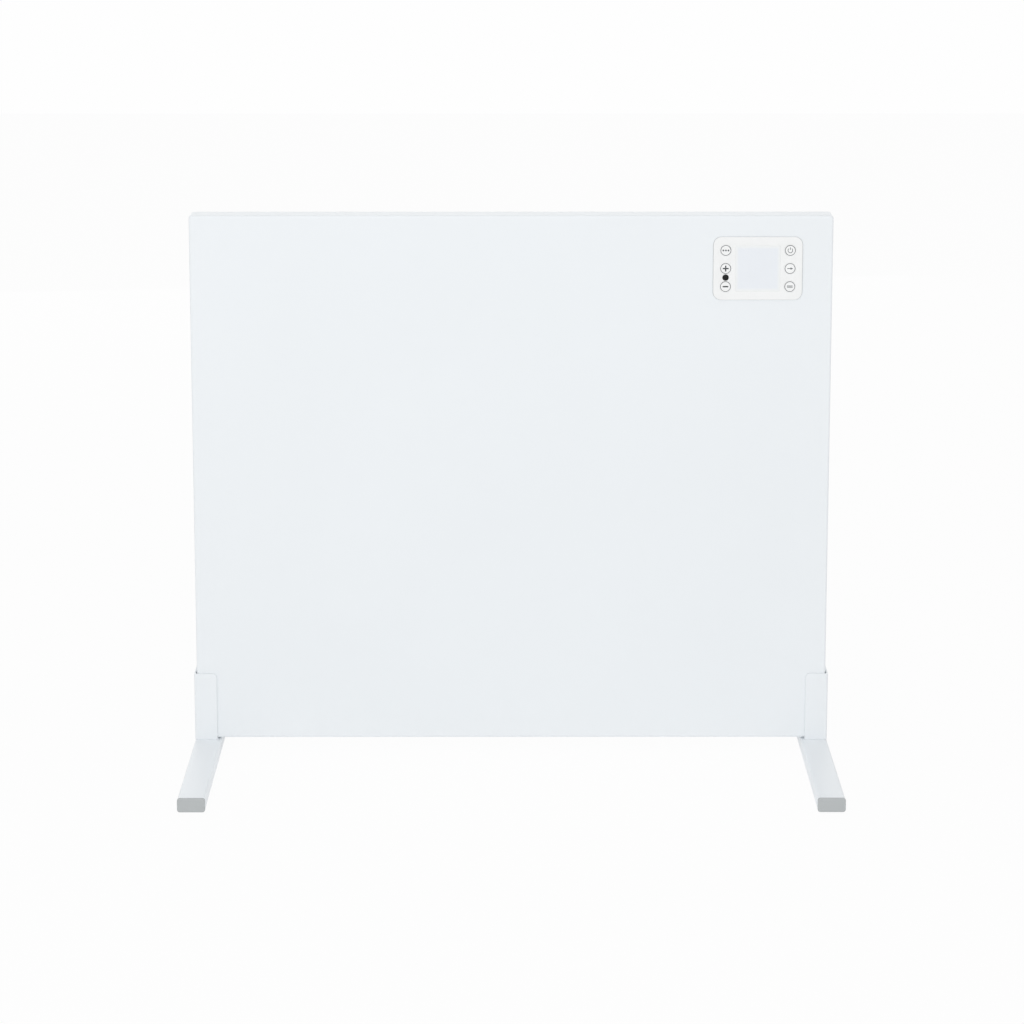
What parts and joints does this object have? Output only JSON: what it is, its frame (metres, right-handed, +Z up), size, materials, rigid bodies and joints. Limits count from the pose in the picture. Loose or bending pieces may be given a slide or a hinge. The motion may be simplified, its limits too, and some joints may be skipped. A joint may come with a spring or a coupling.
{
  "type": "panel heater",
  "caption": "Slim flat electric radiant panel heater with a display and push keys at the top right, on two screwed-on tube feet, with wall rails at the back.",
  "frame": {"origin": "on the floor, under the middle of the panel", "axes": "+X to the right seen from the front, +Y to the back, +Z up"},
  "size_m": [0.6054, 0.432, 0.5169],
  "materials": {
    "white_steel": "smooth white powder coat, satin",
    "white_plastic": "white moulded plastic, satin gloss",
    "key_plastic": "white moulded keys with grey printed symbols",
    "display_window": "pale blue-grey diffusing window, smooth",
    "receiver_black": "dark infrared-clear plastic, polished",
    "end_cap_grey": "light grey moulded plastic, fine grain",
    "zinc_steel": "zinc plated",
    "bare_steel": "bare rolled sheet",
    "mica_board": "pressed mica board with resistance track",
    "wool_board": "compressed mineral wool",
    "circuit_board": "green solder mask",
    "housing_grey": "grey moulded plastic",
    "black_plastic": "black moulded plastic, fine grain",
    "rocker_black": "black moulded plastic, satin gloss",
    "copper_winding": "lacquered copper winding",
    "grey_plastic": "light grey insulating plastic",
    "lead_sleeve": "woven heat-proof sleeve"
  },
  "bodies": {
    "casing": {"front_panel": "white_steel", "rear_cover": "white_steel", "foot_tube_left": "white_steel", "foot_tube_right": "white_steel", "foot_bracket_left": "white_steel", "foot_bracket_right": "white_steel", "control_bezel": "white_plastic", "relay": "white_plastic", "display_lens": "display_window", "ir_receiver": "receiver_black", "end_cap_front_left": "end_cap_grey", "end_cap_front_right": "end_cap_grey", "end_cap_rear_left": "end_cap_grey", "end_cap_rear_right": "end_cap_grey", "hanging_rail_top": "zinc_steel", "hanging_rail_bottom": "zinc_steel", "overheat_thermostat": "zinc_steel", "tilt_pin": "zinc_steel", "cover_screw_1": "zinc_steel", "cover_screw_2": "zinc_steel", "cover_screw_3": "zinc_steel", "cover_screw_4": "zinc_steel", "foot_screw_left": "zinc_steel", "foot_screw_right": "zinc_steel", "bracket_screw_left": "zinc_steel", "bracket_screw_right": "zinc_steel", "chassis_plate": "bare_steel", "heating_element": "mica_board", "insulation_board": "wool_board", "control_board": "circuit_board", "power_board": "circuit_board", "control_housing": "housing_grey", "lcd_module": "housing_grey", "switch_mode": "black_plastic", "switch_plus": "black_plastic", "switch_minus": "black_plastic", "switch_power": "black_plastic", "switch_set": "black_plastic", "switch_menu": "black_plastic", "power_tray": "black_plastic", "room_sensor": "black_plastic", "tilt_switch_case": "black_plastic", "rocker_body": "black_plastic", "cord_gland": "black_plastic", "transformer": "copper_winding", "terminal_block": "grey_plastic", "thermal_fuse": "grey_plastic", "ribbon_cable": "grey_plastic", "mains_lead": "lead_sleeve", "switch_lead": "lead_sleeve", "return_lead": "lead_sleeve", "element_lead": "lead_sleeve"},
    "key_mode": {"key_mode": "key_plastic"},
    "key_plus": {"key_plus": "key_plastic"},
    "key_minus": {"key_minus": "key_plastic"},
    "key_power": {"key_power": "key_plastic"},
    "key_set": {"key_set": "key_plastic"},
    "key_menu": {"key_menu": "key_plastic"},
    "rocker_paddle": {"rocker_paddle": "rocker_black"},
    "tilt_pendulum": {"tilt_pendulum": "zinc_steel"}
  },
  "joints": [
    {"name": "key_mode_press", "type": "slide", "parent": "casing", "child": "key_mode", "axis": [0, 1, 0], "range_m": [0, 0.0006], "stiffness_N_per_m": 3000},
    {"name": "key_plus_press", "type": "slide", "parent": "casing", "child": "key_plus", "axis": [0, 1, 0], "range_m": [0, 0.0006], "stiffness_N_per_m": 3000},
    {"name": "key_minus_press", "type": "slide", "parent": "casing", "child": "key_minus", "axis": [0, 1, 0], "range_m": [0, 0.0006], "stiffness_N_per_m": 3000},
    {"name": "key_power_press", "type": "slide", "parent": "casing", "child": "key_power", "axis": [0, 1, 0], "range_m": [0, 0.0006], "stiffness_N_per_m": 3000},
    {"name": "key_set_press", "type": "slide", "parent": "casing", "child": "key_set", "axis": [0, 1, 0], "range_m": [0, 0.0006], "stiffness_N_per_m": 3000},
    {"name": "key_menu_press", "type": "slide", "parent": "casing", "child": "key_menu", "axis": [0, 1, 0], "range_m": [0, 0.0006], "stiffness_N_per_m": 3000},
    {"name": "rocker_turn", "type": "hinge", "parent": "casing", "child": "rocker_paddle", "pos_m": [0.2, 0.01398, 0.0844], "axis": [-1, 0, 0], "range_deg": [0, 20]},
    {"name": "pendulum_swing", "type": "hinge", "parent": "casing", "child": "tilt_pendulum", "pos_m": [-0.225, 0.00305, 0.0832], "axis": [1, 0, 0], "range_deg": [-20, 20]}
  ]
}
